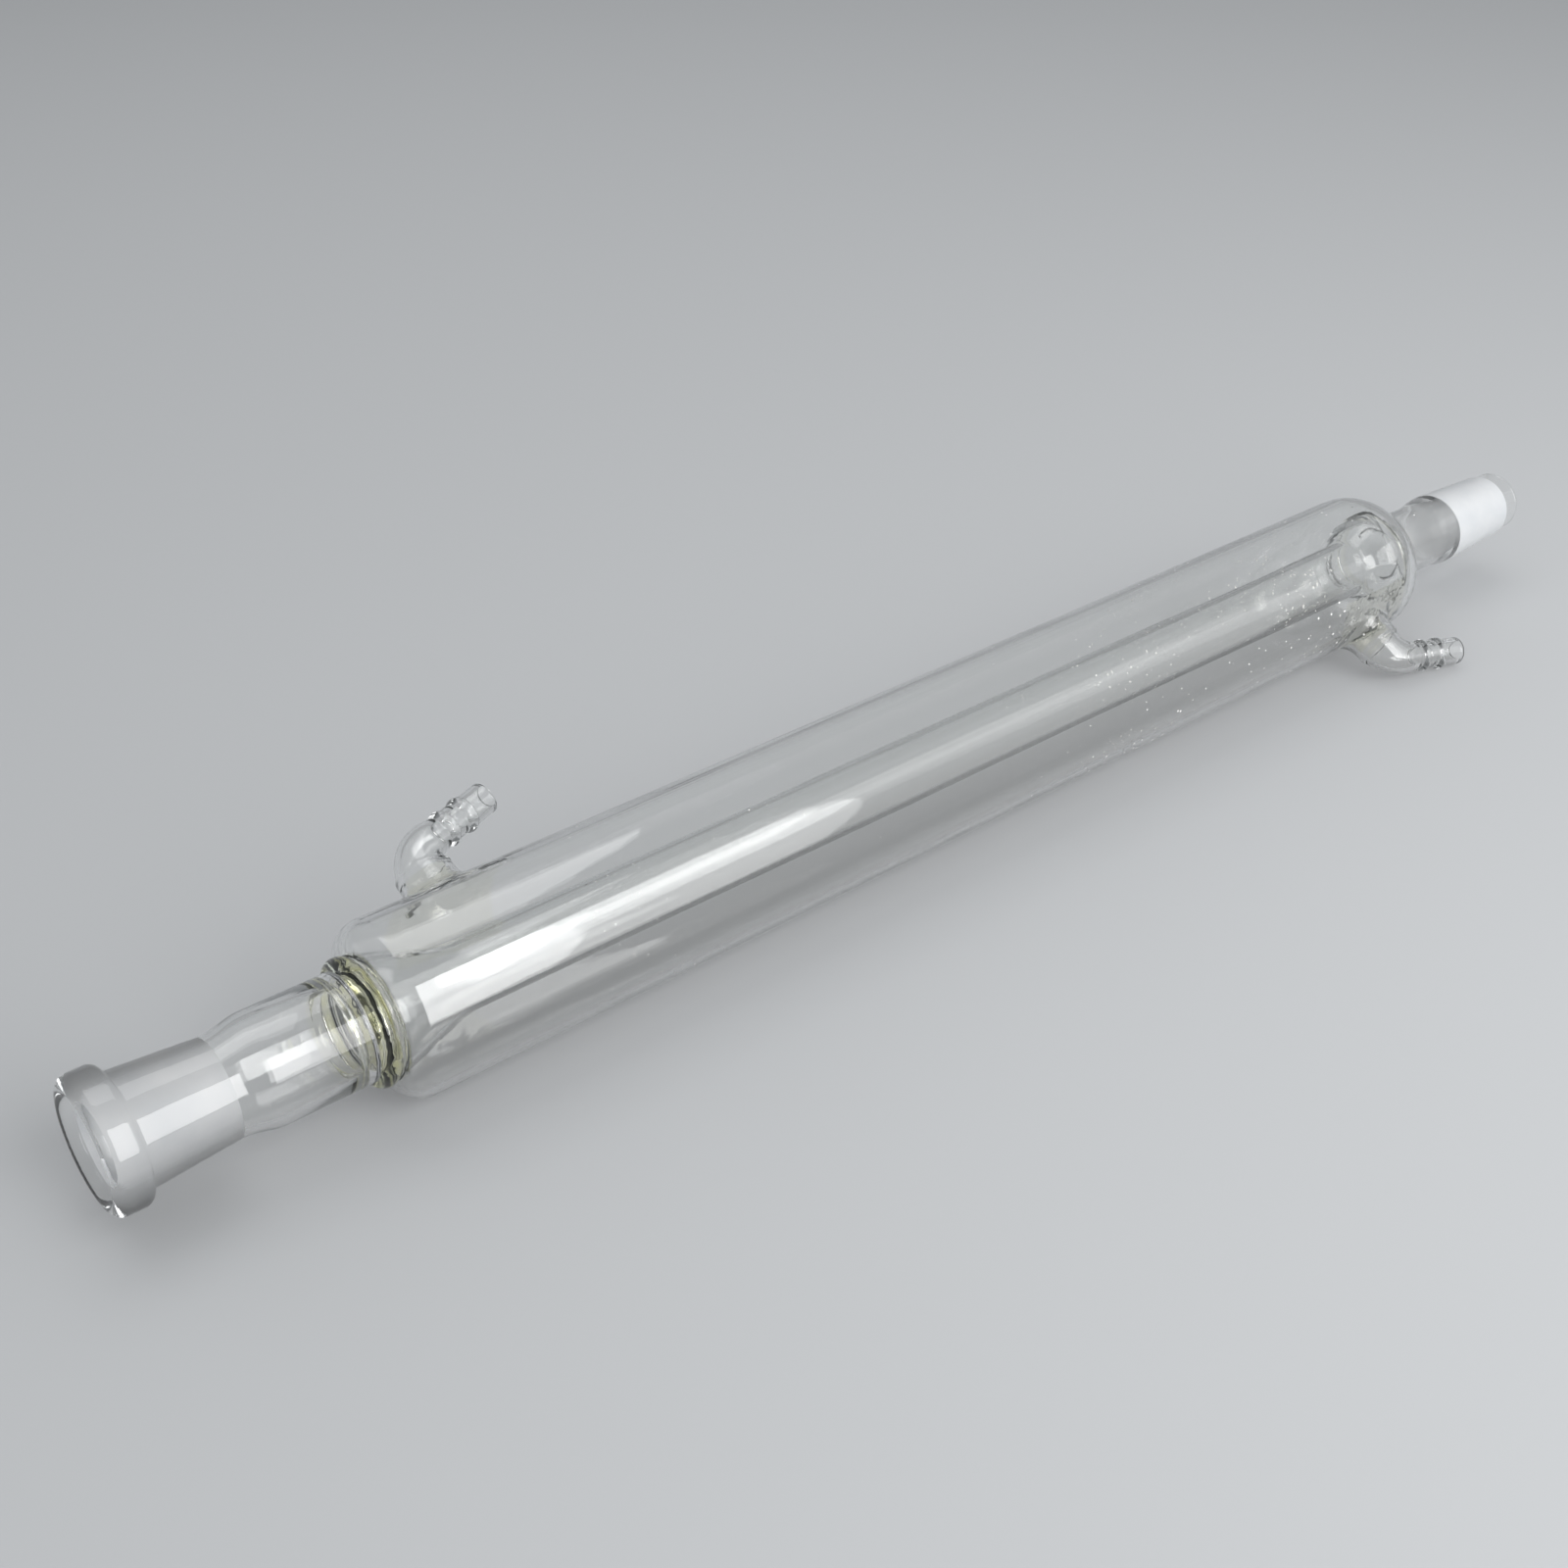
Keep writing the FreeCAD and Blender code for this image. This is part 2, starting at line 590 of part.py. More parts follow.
def make_hose_connection(label, along, roll):
    body = new_body(label, along, roll)
    spine = draw_outline(new_sketch(body, f"{label}_bend", "XZ_Plane"), [
        (None, "boss_top"),
        (None, "bend_start", "arm_bend_radius", RIGHT),
        ("bend_end_along", "bend_end_out"),
        ("nipple_start_along", "nipple_start_out"),
    ], closed=False)
    horn(body, "AdditivePipe", f"{label}_horn", spine, "boss", "arm_end")
    nipple = draw_outline(nipple_sketch(body, f"{label}_nipple_outline"), [
        ("nipple_start", None),
        ("nipple_start", "nipple"),
        ("barb_one_start", "nipple", "barb_curve", RIGHT),
        ("barb_one_end", "nipple"),
        ("barb_two_start", "nipple", "barb_curve", RIGHT),
        ("barb_two_end", "nipple"),
        ("tip_round_start", "nipple", "nipple_rounding", RIGHT),
        ("nipple_end", "tip_round_inner"),
        ("nipple_end", None),
    ])
    turn(body, "Revolution", nipple, "H_Axis", f"{label}_nipple")
    horn(body, "SubtractivePipe", f"{label}_horn_bore", spine, "boss_bore", "nipple_hole")
    hole = draw_outline(nipple_sketch(body, f"{label}_nipple_bore"), [
        ("nipple_start", None),
        ("nipple_start", "nipple_hole"),
        ("nipple_end", "nipple_hole"),
        ("nipple_end", None),
    ])
    turn(body, "Groove", hole, "H_Axis", f"{label}_nipple_hole")
    return body


# Pieces in the order they are sealed together
pieces = [
    make_condensing_tube(),
    make_ground_socket(),
    make_near_ring_seal(),
    make_water_jacket(),
    make_far_ring_seal(),
    make_ground_cone(),
    make_hose_connection("near_hose_connection", "near_arm_frame", "near_roll"),
    make_hose_connection("far_hose_connection", "far_arm_frame", "far_roll"),
]
document.recompute()


# Check and write each piece
for item in document.Objects:
    for state in ("Invalid", "Error"):
        if state in item.State:
            raise RuntimeError(f"{item.Name} did not build: {item.State}")

os.makedirs("parts", exist_ok=True)
for piece in pieces:
    if piece.Shape.isNull() or not piece.Shape.isValid() or piece.Shape.Volume <= 0:
        raise RuntimeError(f"{piece.Label} has no sound solid")
    piece.Shape.exportStep(os.path.join("parts", f"{piece.Label}.step"))
    print(piece.Label, len(piece.Shape.Solids), round(piece.Shape.Volume), piece.Shape.BoundBox)
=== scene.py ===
import math

import bmesh
import bpy
from mathutils import Matrix, Vector


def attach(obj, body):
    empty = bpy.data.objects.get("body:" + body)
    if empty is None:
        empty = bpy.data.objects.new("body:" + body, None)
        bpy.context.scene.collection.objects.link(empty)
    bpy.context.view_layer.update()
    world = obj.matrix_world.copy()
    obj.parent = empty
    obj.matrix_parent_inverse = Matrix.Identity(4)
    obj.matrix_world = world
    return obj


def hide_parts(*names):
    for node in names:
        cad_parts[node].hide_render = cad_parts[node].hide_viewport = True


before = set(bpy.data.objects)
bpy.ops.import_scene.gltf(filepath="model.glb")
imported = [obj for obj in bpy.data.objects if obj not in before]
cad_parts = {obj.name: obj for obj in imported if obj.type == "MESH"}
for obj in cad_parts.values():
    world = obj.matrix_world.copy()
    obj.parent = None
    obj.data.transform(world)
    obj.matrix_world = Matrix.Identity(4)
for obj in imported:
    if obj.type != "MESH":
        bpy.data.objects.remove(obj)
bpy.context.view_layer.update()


# Condensing tube
# A thin drawn tube of borosilicate glass, opened out like a funnel at both ends on the lathe.
# Its wide ends are what the ring seals hold, so the tube hangs free inside the water jacket.
MM = 0.001
LENGTH = 520.5
AXIS_HEIGHT = 23.1
SIDES = 128
LEFT, RIGHT = 1, -1
ARC_STEP, FEWEST_ARC_STEPS, FLARE_STEPS = math.radians(6), 4, 14

TAIL, TAIL_BORE = 14.3, 12.1
TUBE, TUBE_BORE = 9.0, 7.5
NEAR_FUNNEL = (72.0, 97.0)
FAR_FUNNEL = (435.0, 446.0)
FAR_RIM, FAR_RIM_BORE, FAR_RIM_END = 14.6, 12.6, 448.6
FUSED_WEB, RIM_MELT = 0.2, 0.5


def sweep(start, finish, radius, side):
    """The points of a short arc after its start, its centre to the left or the right."""
    start, finish = Vector(start), Vector(finish)
    chord = finish - start
    across = Vector((-chord.y, chord.x)).normalized() * side
    centre = (start + finish) / 2 + across * math.sqrt(max(radius ** 2 - chord.length_squared / 4, 0))
    first = math.atan2(start.y - centre.y, start.x - centre.x)
    turn = 2 * math.asin(min(chord.length / 2 / radius, 1)) * side
    steps = max(FEWEST_ARC_STEPS, math.ceil(abs(turn) / ARC_STEP))
    return [(centre.x + radius * math.cos(first + turn * step / steps),
             centre.y + radius * math.sin(first + turn * step / steps)) for step in range(1, steps + 1)]


def trace(*corners):
    """An outline in millimetres from corners (along, out) or (along, out, radius, side)."""
    points = [corners[0][:2]]
    for here, there in zip(corners, corners[1:]):
        points += sweep(here[:2], there[:2], *here[2:]) if len(here) > 2 else [there[:2]]
    return points


def flare(start, finish):
    """An outline that eases from one width to another, as softened glass does."""
    shares = [step / FLARE_STEPS for step in range(FLARE_STEPS + 1)]
    return [(start[0] + (finish[0] - start[0]) * share,
             start[1] + (finish[1] - start[1]) * (1 - math.cos(math.pi * share)) / 2)
            for share in shares]


def add_to(glass, skin):
    """Adds a skin to the rest of the glass."""
    mesh = bpy.data.meshes.new("skin")
    skin.to_mesh(mesh)
    skin.free()
    glass.from_mesh(mesh)
    bpy.data.meshes.remove(mesh)


def turn_skin(glass, outline, finish):
    """Spins an outline about the bore into one open skin of glass and gives it a finish."""
    skin = bmesh.new()
    rim = [skin.verts.new(((along - LENGTH / 2) * MM, 0, out * MM)) for along, out in outline]
    edges = [skin.edges.new(pair) for pair in zip(rim, rim[1:])]
    bmesh.ops.spin(skin, geom=rim + edges, cent=(0, 0, 0), axis=(1, 0, 0),
                   angle=math.tau, steps=SIDES, use_merge=True)
    for face in skin.faces:
        face.material_index = finish
    add_to(glass, skin)


CLEAR, GROUND, SEAL, WORKED = range(4)
glass = bmesh.new()
turn_skin(glass, flare((NEAR_FUNNEL[0] + FUSED_WEB, TAIL), (NEAR_FUNNEL[1], TUBE))
          + flare((FAR_FUNNEL[0], TUBE), (FAR_FUNNEL[1], FAR_RIM))
          + [(FAR_RIM_END - RIM_MELT, FAR_RIM)], CLEAR)
turn_skin(glass, flare((NEAR_FUNNEL[0], TAIL_BORE), (NEAR_FUNNEL[1], TUBE_BORE))
          + flare((FAR_FUNNEL[0], TUBE_BORE), (FAR_FUNNEL[1], FAR_RIM_BORE))
          + [(FAR_RIM_END, FAR_RIM_BORE)], CLEAR)


# Ground socket
# The near end: a barrel with a rounded bead rim, pressed and blown over a mandrel. Its bore is
# ground to a 1 in 10 taper and stays frosted; behind it the tail is clear glass.
LIP, BEAD, BARREL = 14.1, 17.2, 14.3
JOINT_BIG, JOINT_SMALL, JOINT_LENGTH = 12.0, 10.55, 29.0
LIP_DEPTH, BEAD_LENGTH, BEAD_BACK, BEAD_HEEL = 3.2, 9.4, 2.4, 0.5
SOCKET_END = LIP_DEPTH + JOINT_LENGTH
BARREL_END, TAIL_START, RING_PLACE = 12.6, 43.0, 65.6
INNER_BEAD = RING_PLACE - 4.5

turn_skin(glass, trace((0, LIP, BEAD - LIP, RIGHT),
                       (BEAD - LIP, BEAD),
                       (BEAD_LENGTH - BEAD_BACK, BEAD, BEAD_BACK, RIGHT),
                       (BEAD_LENGTH, BEAD - BEAD_BACK, BEAD_HEEL, LEFT),
                       (BEAD_LENGTH + BEAD_HEEL, BARREL),
                       (SOCKET_END, BARREL_END)), CLEAR)
turn_skin(glass, flare((SOCKET_END, BARREL_END), (TAIL_START, TAIL)) + [(RING_PLACE, TAIL)], CLEAR)
turn_skin(glass, trace((0, LIP, LIP_DEPTH, LEFT), (LIP_DEPTH, JOINT_BIG)), CLEAR)
turn_skin(glass, [(LIP_DEPTH, JOINT_BIG), (SOCKET_END, JOINT_SMALL)], GROUND)
turn_skin(glass, flare((SOCKET_END, JOINT_SMALL), (TAIL_START, TAIL_BORE))
          + [(INNER_BEAD, TAIL_BORE)], CLEAR)


# Near ring seal
# The thick ring where tail, jacket and condensing tube are melted into one. It stands a little
# proud all round and is deep enough in glass to look yellowish, and a low bead runs inside it.
RING_CROWN, RING, RING_SHOULDER, RING_SEAT, RING_END = 68.2, 16.8, 70.2, 16.1, 72.0
RING_RISE, RING_FALL, WEB_ROUNDING = 2.6, 3.21, 0.95
INNER_RISE, INNER_CREST, INNER_FALL = 0.35, 0.9, 0.6

turn_skin(glass, trace((RING_PLACE, TAIL, RING_RISE, RIGHT), (RING_CROWN, RING, RING_FALL, RIGHT),
                       (RING_SHOULDER, RING_SEAT)), SEAL)
turn_skin(glass, trace((INNER_BEAD, TAIL_BORE), (INNER_BEAD + 1, TAIL_BORE - INNER_RISE, 1.6, LEFT),
                       (INNER_BEAD + 3, TAIL_BORE - INNER_CREST, 2.2, RIGHT),
                       (RING_END - 1.5, TAIL_BORE - INNER_FALL), (RING_END, TAIL_BORE)), WORKED)
turn_skin(glass, trace((RING_END + FUSED_WEB, TAIL, WEB_ROUNDING, RIGHT),
                       (RING_END + FUSED_WEB, RING_SEAT)), WORKED)


# Water jacket
# The wide blown tube that holds the cooling water round the condensing tube. Its near end is
# rounded off onto the ring seal, and its far end is a dome drawn in to a short neck.
JACKET, WATER_WALL = 23.1, 21.3
SHOULDER_END, DOME_PLACE = 77.2, 438.9
DOME_TURN, NECK_PLACE, NECK_END = (452.97, 13.29), 456.26, 461.0
NECK, NECK_BORE = 11.0, 9.2
SHOULDER_INNER, DOME, DOME_INNER, DOME_NECK, DOME_NECK_INNER = 5.1, 15.0, 13.2, 3.5, 5.3
FAR_RING_EDGE, FAR_RING_INNER_EDGE = (449.83, 15.5), (451.31, 12.6)
ARMS = ((102.3, 1), (423.6, -1))
PATCH_STEP, PATCH_STEPS, PATCH_COLUMNS = 1.5, 20, 28


def straight_rings(out):
    """The straight wall's outline, with close rings where the two bosses are drawn out."""
    along = [SHOULDER_END]
    for place, _ in ARMS:
        along += [place + PATCH_STEP * (step - PATCH_STEPS / 2) for step in range(PATCH_STEPS + 1)]
    return [(x, out) for x in along + [DOME_PLACE]]


turn_skin(glass, trace((RING_SHOULDER, RING_SEAT, JACKET - RING_SEAT, RIGHT), (SHOULDER_END, JACKET))
          + straight_rings(JACKET)[1:]
          + sweep((DOME_PLACE, JACKET), DOME_TURN, DOME, RIGHT)
          + sweep(DOME_TURN, (NECK_PLACE, NECK), DOME_NECK, LEFT) + [(NECK_END, NECK)], CLEAR)
turn_skin(glass, trace((RING_END + FUSED_WEB, RING_SEAT, SHOULDER_INNER, RIGHT),
                       (SHOULDER_END, WATER_WALL))
          + straight_rings(WATER_WALL)[1:]
          + sweep((DOME_PLACE, WATER_WALL), FAR_RING_EDGE, DOME_INNER, RIGHT), CLEAR)


# Far ring seal
# The fused bead that holds the far funnel's rim inside the dome, so that the bore opens into the
# jacket's neck while the water stays outside.
FAR_RING_ROUNDING = 1.3

turn_skin(glass, trace((FAR_RIM_END - RIM_MELT, FAR_RIM, FAR_RING_ROUNDING, LEFT),
                       FAR_RING_EDGE), WORKED)
turn_skin(glass, [(FAR_RIM_END, FAR_RIM_BORE), FAR_RING_INNER_EDGE], WORKED)


# Ground cone
# The far end: a clear tail that swells into a frosted 1 in 10 taper, ground to fit a socket of
# the same size, and a short clear tip that is rounded off in the flame.
CONE_TAIL_START, CONE_PLACE, CONE_END = 474.0, 483.5, 512.5
CONE_BORE, TIP, TIP_BORE, TIP_ROUNDING, TIP_BORE_ROUNDING = 10.2, 9.9, 8.2, 1.2, 0.3
TIP_STEP, TIP_BORE_PLACE = 1.6, CONE_END + 2
TAIL_BORE_START, SHOULDER_BORE_END = CONE_TAIL_START - 4, CONE_PLACE + 2

turn_skin(glass, [(NECK_END, NECK)] + flare((CONE_TAIL_START, NECK), (CONE_PLACE, JOINT_BIG)), CLEAR)
turn_skin(glass, [(CONE_PLACE, JOINT_BIG), (CONE_END, JOINT_SMALL)], GROUND)
turn_skin(glass, trace((CONE_END, JOINT_SMALL), (CONE_END + TIP_STEP, TIP),
                       (LENGTH - TIP_ROUNDING, TIP, TIP_ROUNDING, RIGHT),
                       (LENGTH, TIP - TIP_ROUNDING),
                       (LENGTH, TIP_BORE + TIP_BORE_ROUNDING, TIP_BORE_ROUNDING, RIGHT),
                       (LENGTH - TIP_BORE_ROUNDING, TIP_BORE), (TIP_BORE_PLACE, TIP_BORE)), CLEAR)
turn_skin(glass, trace((*FAR_RING_INNER_EDGE, DOME_NECK_INNER, LEFT), (NECK_PLACE, NECK_BORE),
                       (NECK_END, NECK_BORE))
          + flare((TAIL_BORE_START, NECK_BORE), (CONE_PLACE, CONE_BORE))
          + flare((SHOULDER_BORE_END, CONE_BORE), (TIP_BORE_PLACE, TIP_BORE)), CLEAR)


# Hose connections
# Two short horns of tube, bent over towards the cone, with a nipple that has two rounded barbs
# for a rubber hose. Each is flame-sealed onto a boss that is drawn out of the jacket's wall.
BOSS, BOSS_TOP, BOSS_CURVE, BOSS_BORE, PATCH_ROUND = 7.5, 28.0, 12.278, 5.7, 12.6
BOSS_STEPS, BLEND, WELD, WELD_PLACE, WELD_WIDTH = 14, 2.6, 0.35, 1.4, 0.6
SWIRL, SWIRL_LOBES, SWIRL_TWIST = 0.38, 4, 7.0
STUB, BEND_RADIUS, BEND_TURN, HORN_STRAIGHT = 0.6, 9.0, math.radians(74.5), 3.0
HORN_STEPS, HORN_END, NIPPLE_BORE = 26, 4.5, 2.9
HORN_LENGTH = STUB + BEND_RADIUS * BEND_TURN + HORN_STRAIGHT
BARB = 2.4143
NIPPLE = trace((0, HORN_END), (0.1, 4.4), (0.3, 4.4, BARB, RIGHT), (3.7, 4.4),
               (6.9, 4.4, BARB, RIGHT), (10.3, 4.4), (16.6, 4.4, 0.6, RIGHT), (17.2, 3.8),
               (17.2, 3.3, 0.4, RIGHT), (16.8, NIPPLE_BORE), (0.1, NIPPLE_BORE))
PATCH_SHARES, WALL_CLOSE = (0.35, 0.7, 1.0), 0.1


class Ring:
    """A circle across the glass: its centre, its two directions across and its radius."""

    def __init__(self, centre, across, radius):
        self.centre, self.across, self.radius = Vector(centre), Vector(across), radius
        self.sideways = Vector((0, 1, 0))

    def angle(self, point):
        reach = point - self.centre
        return math.atan2(reach.dot(self.sideways), reach.dot(self.across))

    def point(self, angle):
        turned = self.across * math.cos(angle) + self.sideways * math.sin(angle)
        return self.centre + turned * self.radius


def soft_highest(first, second, reach):
    """The higher of two heights, with a fillet where they meet."""
    near = max(reach - abs(first - second), 0) / reach
    return max(first, second) + near * near * reach / 4


def flared_height(angle, bend, curve, wall):
    """How far out the wall lies on the flare of a boss, at one bend of its outline."""
    radius = BOSS + BOSS_CURVE - curve * math.cos(bend)
    round_wall = math.sqrt(wall ** 2 - (radius * math.sin(angle)) ** 2)
    return radius, soft_highest(BOSS_TOP - curve * math.sin(bend), round_wall, BLEND)


def horn_ring(run, radius):
    """A ring at some distance along the horn's middle line, measured from the boss."""
    turn = min(max((run - STUB) / BEND_RADIUS, 0), BEND_TURN)
    straight = max(run - STUB - BEND_RADIUS * BEND_TURN, 0)
    along = BEND_RADIUS * (1 - math.cos(turn)) + straight * math.sin(turn)
    out = BOSS_TOP + min(run, STUB) + BEND_RADIUS * math.sin(turn) + straight * math.cos(turn)
    return Ring((along, 0, out), (math.cos(turn), 0, -math.sin(turn)), radius)


def open_wall(glass, arm, wall, place, side):
    """Opens one wall under a boss and copies the open edge into the arm's own mesh."""
    half_turn = math.tau * PATCH_COLUMNS / SIDES / 2
    half_run = PATCH_STEP * PATCH_STEPS / 2
    inside = set()
    for face in glass.faces:
        middle = face.calc_center_median() / MM
        if (abs(math.hypot(middle.y, middle.z) - wall) < WALL_CLOSE
                and abs(middle.x + LENGTH / 2 - place) < half_run
                and abs(math.atan2(middle.y, middle.z * side)) < half_turn):
            inside.add(face)
    rim = {edge for face in inside for edge in face.edges if set(edge.link_faces) - inside}
    copies = {}
    for corner in {vertex for edge in rim for vertex in edge.verts}:
        copies[corner] = arm.verts.new(corner.co)
    edges = [arm.edges.new([copies[corner] for corner in edge.verts]) for edge in rim]
    bmesh.ops.delete(glass, geom=list(inside), context="FACES")
    return edges


def draw_on(arm, edges, place_of, finish):
    """Draws an open edge on to its next place, and gives back the new open edge."""
    drawn = bmesh.ops.extrude_edge_only(arm, edges=edges)["geom"]
    for face in drawn:
        if isinstance(face, bmesh.types.BMFace):
            face.material_index = finish
    fresh = {item for item in drawn if isinstance(item, bmesh.types.BMVert)}
    for vertex in fresh:
        vertex.co = place_of(vertex.co)
    return [item for item in drawn
            if isinstance(item, bmesh.types.BMEdge) and fresh.issuperset(item.verts)]


def seal_on_arm(glass, place, side):
    """Draws a boss out of the jacket and seals a hose connection to it."""
    arm = bmesh.new()
    flip = Vector((1, 1, side))
    origin = Vector((place - LENGTH / 2, 0, 0))
    edges = open_wall(glass, arm, JACKET, place, side)
    inner_edges = open_wall(glass, arm, WATER_WALL, place, side)

    def draw_by(rule, finish=CLEAR):
        return draw_on(arm, edges,
                       lambda co: (rule((co / MM - origin) * flip) * flip + origin) * MM, finish)

    def spread(point):
        angle = math.atan2(point.y, point.x)
        circle = Vector((math.cos(angle), math.sin(angle))) * PATCH_ROUND
        flat = Vector((point.x, point.y)).lerp(circle, share)
        return Vector((flat.x, flat.y, math.sqrt(JACKET ** 2 - flat.y ** 2)))

    def on_flare(point):
        angle = math.atan2(point.y, point.x)
        radius, out = flared_height(angle, bend, curve, wall)
        out += swirl * math.sin(SWIRL_LOBES * angle + SWIRL_TWIST * bend)
        return Vector((radius * math.cos(angle), radius * math.sin(angle), out))

    for share in PATCH_SHARES:
        edges = draw_by(spread)
    curve, wall, swirl = BOSS_CURVE, JACKET, 0
    widest = math.acos((BOSS + BOSS_CURVE - PATCH_ROUND) / curve)
    for step in range(BOSS_STEPS - 1, -1, -1):
        bend = widest * step / BOSS_STEPS
        edges = draw_by(on_flare)
    runs = [HORN_LENGTH * step / HORN_STEPS for step in range(HORN_STEPS + 1)]
    runs += [WELD_PLACE + WELD_WIDTH * step / 2 for step in range(-3, 4)]
    rings = [horn_ring(run, BOSS + (HORN_END - BOSS) * run / HORN_LENGTH
                       + WELD * math.exp(-((run - WELD_PLACE) / WELD_WIDTH) ** 2)) for run in sorted(runs)]
    rings += [horn_ring(HORN_LENGTH + run, radius) for run, radius in NIPPLE[1:]]
    rings += [horn_ring(HORN_LENGTH * step / HORN_STEPS,
                        BOSS_BORE + (NIPPLE_BORE - BOSS_BORE) * step / HORN_STEPS)
              for step in range(HORN_STEPS - 1, -1, -1)]
    for before, ring in zip(rings, rings[1:]):
        edges = draw_by(lambda point: ring.point(before.angle(point)))
    curve, wall = BOSS_CURVE + BOSS - BOSS_BORE, WATER_WALL
    widest = math.acos((BOSS + BOSS_CURVE - PATCH_ROUND) / curve)
    for step in range(1, BOSS_STEPS + 1):
        bend = widest * step / BOSS_STEPS
        swirl = SWIRL * math.sin(math.pi * step / BOSS_STEPS)
        edges = draw_by(on_flare, WORKED)
    bmesh.ops.bridge_loops(arm, edges=edges + inner_edges)
    add_to(glass, arm)


for place, side in ARMS:
    seal_on_arm(glass, place, side)


# Sealing and laying down
# Melted together, the pieces are one glass with no inner faces. It lies on its jacket and on the
# far hose connection's tip.
REST_ANGLE, SHARP_EDGE = math.radians(26.1366), math.radians(40)
GLASS_DOUBLES = 0.00001

bmesh.ops.remove_doubles(glass, verts=glass.verts, dist=GLASS_DOUBLES)
bmesh.ops.recalc_face_normals(glass, faces=glass.faces)
bmesh.ops.transform(glass, verts=glass.verts, matrix=Matrix.Translation((0, 0, AXIS_HEIGHT * MM))
                    @ Matrix.Rotation(REST_ANGLE - math.pi / 2, 4, "X"))
for face in glass.faces:
    face.smooth = True
mesh = bpy.data.meshes.new("condenser_glass")
glass.to_mesh(mesh)
glass.free()
mesh.set_sharp_from_angle(angle=SHARP_EDGE)
condenser = bpy.data.objects.new("condenser_glass", mesh)
bpy.context.scene.collection.objects.link(condenser)
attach(condenser, "root")
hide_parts("ground_socket", "near_ring_seal", "condensing_tube", "water_jacket",
            "far_ring_seal", "ground_cone", "near_hose_connection", "far_hose_connection")


# Glass finishes
# Clear borosilicate with the faint lines it was drawn with and a little dust, the matt grey-white
# of the ground joints, the deep, yellowish ring seal, and the uneven glass worked in the flame.
class Number:
    """A number in a material's nodes, so that its maths is written as plain arithmetic."""

    def __init__(self, finish, socket):
        self.finish, self.socket = finish, socket

    def maths(self, operation, *numbers):
        node = self.finish.add("ShaderNodeMath", {"operation": operation}, dict(enumerate(numbers)))
        return Number(self.finish, node.outputs[0])

    def __add__(self, other):
        return self.maths("ADD", self, other)

    def __sub__(self, other):
        return self.maths("SUBTRACT", self, other)

    def __rsub__(self, other):
        return self.maths("SUBTRACT", other, self)

    def __mul__(self, other):
        return self.maths("MULTIPLY", self, other)

    def __pow__(self, other):
        return self.maths("POWER", self, other)

    def __gt__(self, other):
        return self.maths("GREATER_THAN", self, other)

    def __lt__(self, other):
        return self.maths("LESS_THAN", self, other)

    __radd__, __rmul__ = __add__, __mul__


class Finish:
    """A material of nodes. Its add method makes every node."""

    def __init__(self, name):
        self.material = bpy.data.materials.new(name)
        self.material.use_nodes = True
        self.material.node_tree.nodes.clear()
        self.place = self.add("ShaderNodeTexCoord", {}, {}).outputs["Object"]

    def add(self, kind, settings, sockets):
        node = self.material.node_tree.nodes.new(kind)
        for name, value in settings.items():
            if name == "stops":
                for stop, (position, colour) in zip(node.color_ramp.elements, value):
                    stop.position, stop.color = position, (*colour, 1)
            else:
                setattr(node, name, value)
        for name, value in sockets.items():
            source = value.socket if isinstance(value, Number) else value
            if isinstance(source, bpy.types.NodeSocket):
                self.material.node_tree.links.new(source, node.inputs[name])
            else:
                node.inputs[name].default_value = source
        return node

    def number(self, kind, settings, sockets, output):
        return Number(self, self.add(kind, settings, sockets).outputs[output])

    def stretched(self, scale):
        """The object's own place, stretched so that a pattern runs along the tube."""
        return self.add("ShaderNodeMapping", {}, {"Vector": self.place, "Scale": scale}).outputs[0]

    def noise(self, where, scale, detail):
        return self.number("ShaderNodeTexNoise", {},
                           {"Vector": where, "Scale": scale, "Detail": detail}, "Fac")

    def bump(self, height, distance):
        return self.add("ShaderNodeBump", {}, {"Height": height, "Distance": distance}).outputs[0]

    def let_light_through(self, surface, share, edge_share, caught_shade_tint):
        """Glass lets lamp light through to what lies behind it, less so along its edges. Light that is
        caught between its walls comes out in the end through a set colour, which paints grey shade (tinted
        on the seals) on edges and barbs rather than staying dark."""
        edge = self.number("ShaderNodeLayerWeight", {}, {"Blend": 0.5}, "Facing") ** 4
        lit = self.number("ShaderNodeLightPath", {}, {}, "Is Shadow Ray")
        caught = self.number("ShaderNodeLightPath", {}, {}, "Glossy Depth") > CAUGHT_AFTER
        way_out = self.add("ShaderNodeBsdfTransparent", {}, {"Color": (*caught_shade_tint, 1)}).outputs[0]
        surface = self.add("ShaderNodeMixShader", {}, {0: caught, 1: surface, 2: way_out}).outputs[0]
        open_air = self.add("ShaderNodeBsdfTransparent", {}, {"Color": (1, 1, 1, 1)}).outputs[0]
        return self.add("ShaderNodeMixShader", {}, {0: lit * (share - edge * edge_share),
                                                    1: surface, 2: open_air}).outputs[0]

    def done(self, surface):
        self.add("ShaderNodeOutputMaterial", {}, {"Surface": surface})
        return self.material


GLASS_IOR, CAUGHT_AFTER = 1.473, 2.5

clear = Finish("clear_glass")
draw_lines = clear.noise(clear.stretched((5, 300, 300)), 1.0, 2.0)
waves = clear.noise(clear.stretched((30, 70, 70)), 1.0, 1.0)
surface = clear.add("ShaderNodeBsdfPrincipled", {}, {
    "Base Color": (0.989, 0.993, 0.989, 1), "Transmission Weight": 1.0, "IOR": GLASS_IOR, "Roughness": 0.0,
    "Normal": clear.bump(draw_lines * 0.3 + waves * 0.45, 0.00018)}).outputs[0]
speck = clear.number("ShaderNodeTexVoronoi", {}, {"Vector": clear.place, "Scale": 300.0}, "Distance")
spread = clear.noise(clear.place, 22.0, 3.0)
along = clear.number("ShaderNodeSeparateXYZ", {}, {"Vector": clear.place}, "X")
dusty = speck < (spread - 0.47 + along * 0.4) * 0.5
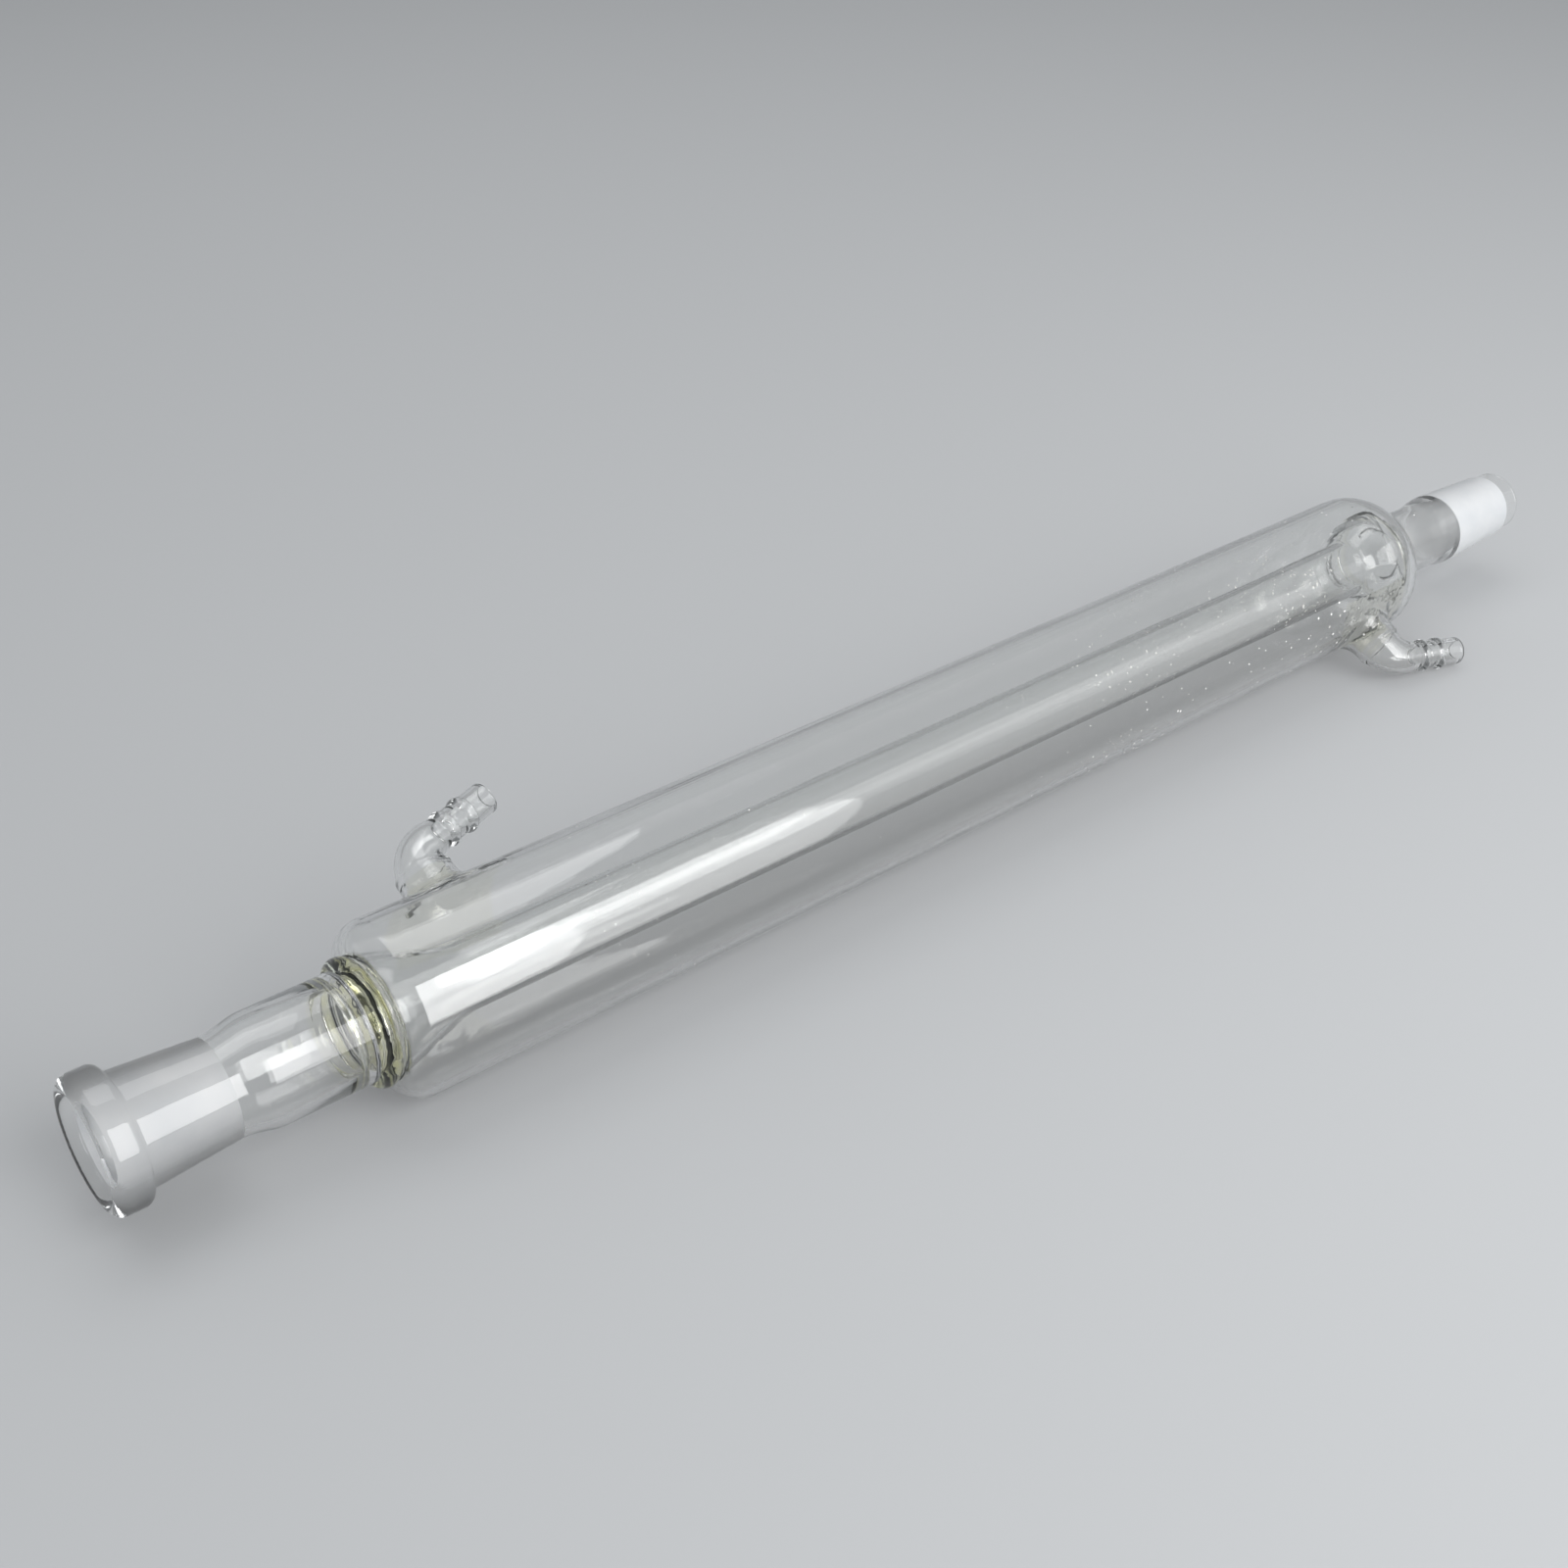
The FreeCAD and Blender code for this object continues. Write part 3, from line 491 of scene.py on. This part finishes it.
film = (clear.noise(clear.stretched((4, 90, 90)), 1.0, 1.0) - 0.42 + along * 0.25) * 0.05
dust = clear.add("ShaderNodeBsdfPrincipled", {}, {
    "Base Color": (0.93, 0.92, 0.90, 1), "Roughness": 0.8}).outputs[0]
surface = clear.add("ShaderNodeMixShader", {}, {0: dusty + film, 1: surface, 2: dust}).outputs[0]
# The 0.42 grey for caught light paints mid-grey shade along the clear glass's edges and barbs.
mesh.materials.append(clear.done(clear.let_light_through(surface, 0.98, 0.85, (0.42, 0.43, 0.43))))

ground = Finish("ground_glass")
grit = ground.noise(ground.place, 2600.0, 3.0)
rings = ground.noise(ground.stretched((1400, 30, 30)), 1.0, 2.0)
tone = ground.add("ShaderNodeValToRGB", {"stops": ((0.3, (0.64, 0.66, 0.68)), (0.7, (0.74, 0.75, 0.76)))},
                  {"Fac": ground.noise(ground.place, 90.0, 4.0)}).outputs[0]
surface = ground.add("ShaderNodeBsdfPrincipled", {}, {
    "Base Color": tone, "Transmission Weight": 0.25, "IOR": GLASS_IOR, "Roughness": 0.5 + grit * 0.2,
    "Normal": ground.bump(grit + rings * 0.6, 0.00004)}).outputs[0]
mesh.materials.append(ground.done(ground.let_light_through(surface, 0.6, 0.3, (0.7, 0.7, 0.7))))

seal = Finish("seal_glass")
flow = seal.noise(seal.place, 130.0, 2.0)
tint = seal.add("ShaderNodeValToRGB", {"stops": ((0.35, (0.95, 0.95, 0.84)), (0.55, (0.82, 0.81, 0.43)))},
                {"Fac": flow}).outputs[0]
surface = seal.add("ShaderNodeBsdfPrincipled", {}, {
    "Base Color": tint, "Transmission Weight": 1.0, "IOR": GLASS_IOR, "Roughness": 0.0,
    "Normal": seal.bump(flow, 0.0003)}).outputs[0]
mesh.materials.append(seal.done(seal.let_light_through(surface, 0.9, 0.7, (0.9, 0.9, 0.65))))

worked = Finish("worked_glass")
swirls = worked.noise(worked.place, 190.0, 2.0)
surface = worked.add("ShaderNodeBsdfPrincipled", {}, {
    "Base Color": (0.955, 0.95, 0.86, 1), "Transmission Weight": 1.0, "IOR": GLASS_IOR, "Roughness": 0.0,
    "Normal": worked.bump(swirls, 0.0006)}).outputs[0]
mesh.materials.append(worked.done(worked.let_light_through(surface, 0.95, 0.8, (0.85, 0.85, 0.75))))


# Studio
# A pale floor, a tall window-like softbox in front with two dimmer ones beside it, a soft panel
# overhead, and the camera at the height and angle of a person leaning over the table.
FLOOR_SIZE = 6.0

scene = bpy.context.scene
scene.view_settings.view_transform = "Standard"
scene.cycles.caustics_reflective = False
scene.cycles.caustics_refractive = False
scene.world = bpy.data.worlds.new("studio")
scene.world.use_nodes = True
scene.world.node_tree.nodes["Background"].inputs["Color"].default_value = (0.38, 0.39, 0.40, 1)

ground_plane = bmesh.new()
bmesh.ops.create_grid(ground_plane, x_segments=1, y_segments=1, size=FLOOR_SIZE)
floor_mesh = bpy.data.meshes.new("floor")
ground_plane.to_mesh(floor_mesh)
ground_plane.free()
floor = bpy.data.objects.new("floor", floor_mesh)
scene.collection.objects.link(floor)
paper = Finish("floor_paper")
surface = paper.add("ShaderNodeBsdfPrincipled", {}, {
    "Base Color": (0.50, 0.51, 0.52, 1), "Roughness": 0.9, "Specular IOR Level": 0.1}).outputs[0]
floor_mesh.materials.append(paper.done(surface))


def softbox(name, place, aim, size, watts):
    """A rectangular lamp that faces a point."""
    lamp = bpy.data.lights.new(name, "AREA")
    lamp.shape, lamp.size, lamp.size_y, lamp.energy = "RECTANGLE", *size, watts
    box = bpy.data.objects.new(name, lamp)
    box.location = place
    box.rotation_euler = (Vector(aim) - Vector(place)).to_track_quat("-Z", "Y").to_euler()
    scene.collection.objects.link(box)


softbox("window", (0.08, -1.05, 0.60), (0.08, 0, 0.02), (0.66, 1.10), 13.5)
softbox("curtain", (0.57, -1.05, 0.60), (0.57, 0, 0.02), (0.32, 1.10), 3.2)
softbox("far_curtain", (1.08, -1.05, 0.60), (1.08, 0, 0.02), (0.7, 1.10), 2.0)
softbox("panel", (0.1, 0.6, 1.6), (0, 0, 0), (1.2, 1.0), 8)

lens = bpy.data.cameras.new("camera")
lens.lens = 46.203
camera = bpy.data.objects.new("camera", lens)
camera.location = (-0.34456, -0.34675, 0.33172)
camera.rotation_euler = (math.radians(56.58), 0, math.radians(-39.04))
scene.collection.objects.link(camera)
scene.camera = camera
